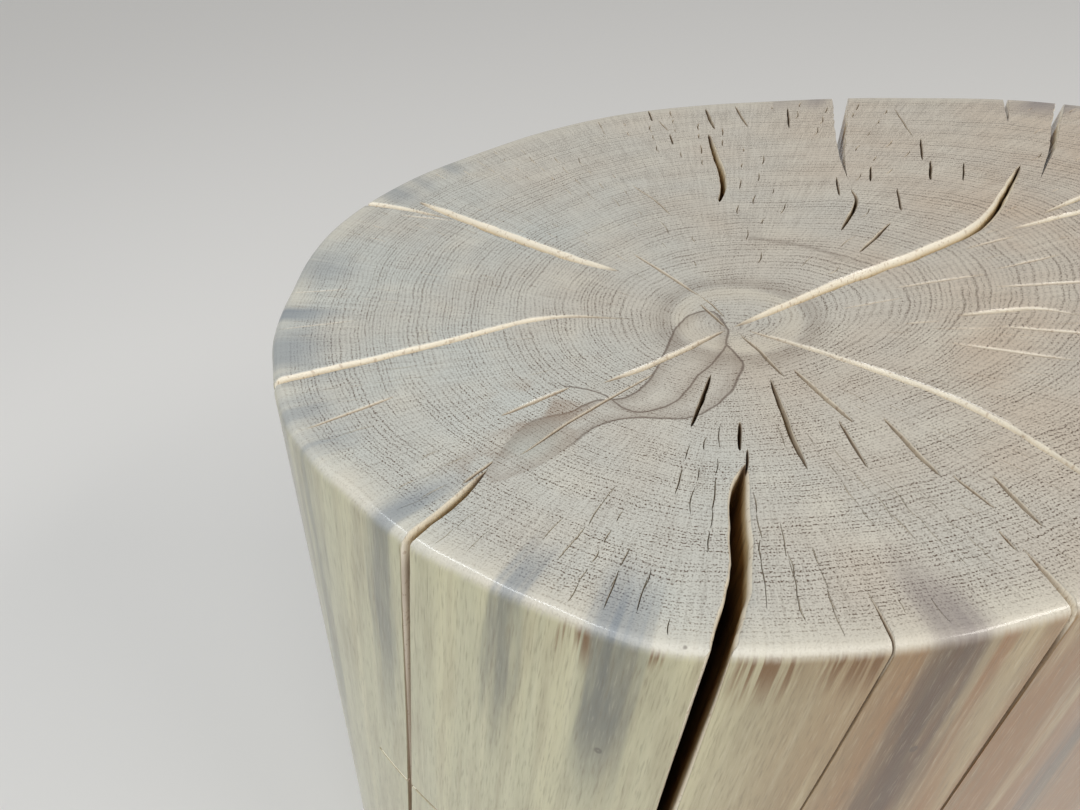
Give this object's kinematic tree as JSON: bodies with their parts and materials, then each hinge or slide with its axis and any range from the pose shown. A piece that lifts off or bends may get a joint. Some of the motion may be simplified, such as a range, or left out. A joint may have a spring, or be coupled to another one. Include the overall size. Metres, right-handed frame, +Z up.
{
  "type": "tree trunk slice",
  "caption": "Thick debarked tree trunk slice, sanded and lacquered, with radial drying cracks, standing on its sawn foot as a stool, side table or display block.",
  "frame": {"origin": "centre of the bounding box, on the floor under the sawn foot", "axes": "+Z up through the sawn top face, +X along the wider way of the trunk towards the side with the widest growth, +Y away from the viewer of the picture"},
  "size_m": [0.465, 0.3894, 0.4],
  "materials": {
    "wood": "sanded bare wood under clear satin lacquer"
  },
  "bodies": {
    "root": {"wood_slice": "wood"}
  },
  "joints": []
}
